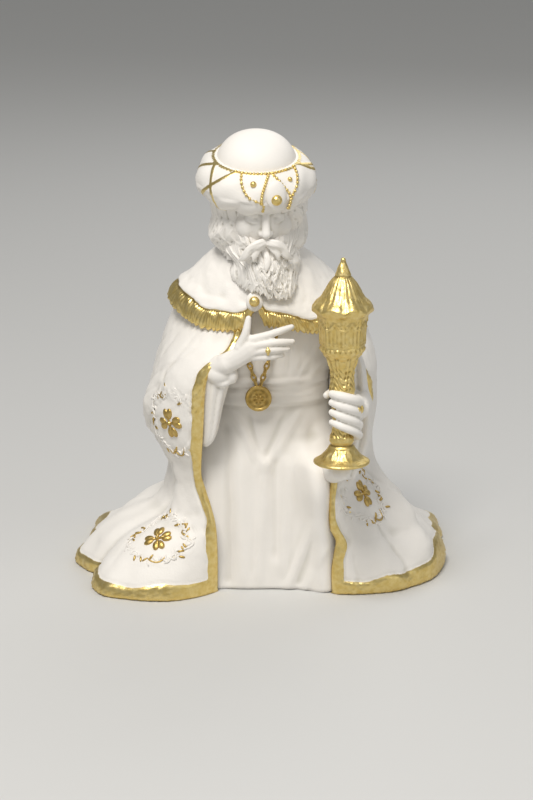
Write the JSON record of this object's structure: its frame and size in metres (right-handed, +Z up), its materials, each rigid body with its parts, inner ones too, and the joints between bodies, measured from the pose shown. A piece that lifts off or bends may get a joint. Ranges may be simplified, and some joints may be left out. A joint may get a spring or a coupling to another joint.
{
  "type": "nativity wise man figurine",
  "caption": "Kneeling bearded wise man in turban, fringed cape and long mantle, holding a gilt covered chalice, in white bisque porcelain.",
  "frame": {"origin": "on the floor plane under the figure, on its midline and below the middle of its shoulders, on the flat underside", "axes": "+Z up, the figure faces -Y, +X towards its left hand and the chalice"},
  "size_m": [0.1632, 0.1542, 0.1975],
  "materials": {
    "bisque": "unglazed white bisque porcelain, matte, with gilded borders made in the scene",
    "gilding": "satin burnished gilding over carved relief"
  },
  "bodies": {
    "root": {"wise_man": "bisque", "chalice": "gilding"}
  },
  "joints": []
}
